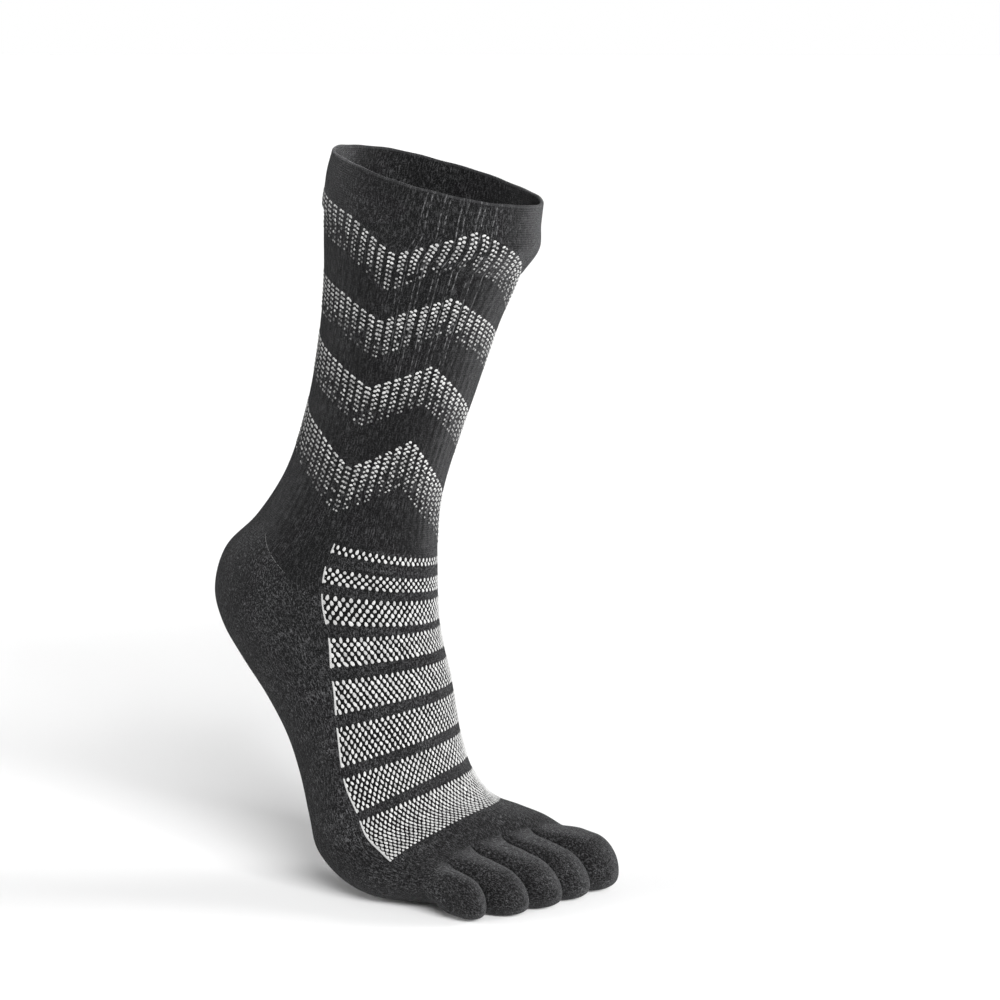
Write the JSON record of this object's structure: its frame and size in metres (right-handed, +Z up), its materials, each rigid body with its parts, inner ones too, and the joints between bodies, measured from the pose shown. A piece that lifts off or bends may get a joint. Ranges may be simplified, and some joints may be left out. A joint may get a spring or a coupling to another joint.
{
  "type": "toe sock",
  "caption": "Knitted crew-height toe sock for a right foot, in its worn form on raised heel, with a cuff, leg, heel pocket, instep mesh panel and separate toe pockets.",
  "frame": {"origin": "centre of the leg opening's rim, where the leg goes in", "axes": "+X forward to the toes, +Y to the big toe's side, +Z up from the toes' underside to the opening"},
  "size_m": [0.195, 0.1004, 0.347],
  "materials": {
    "welt_knit": "dark heather grey doubled welt, fine plain knit",
    "leg_knit": "dark heather grey rib knit with small white zigzag stitches",
    "heel_knit": "dark heather grey plain knit, matte with light fibres",
    "mesh_knit": "white stitches in a checker on near-black ground, in bands between dark stripes",
    "foot_knit": "dark heather grey plain knit, matte with light fibres",
    "toe_knit": "dark heather grey plain knit, slightly fuzzy"
  },
  "bodies": {
    "root": {"cuff": "welt_knit", "leg": "leg_knit", "heel": "heel_knit", "instep_panel": "mesh_knit", "foot": "foot_knit", "little_toe": "toe_knit", "fourth_toe": "toe_knit", "third_toe": "toe_knit", "second_toe": "toe_knit", "big_toe": "toe_knit"}
  },
  "joints": []
}
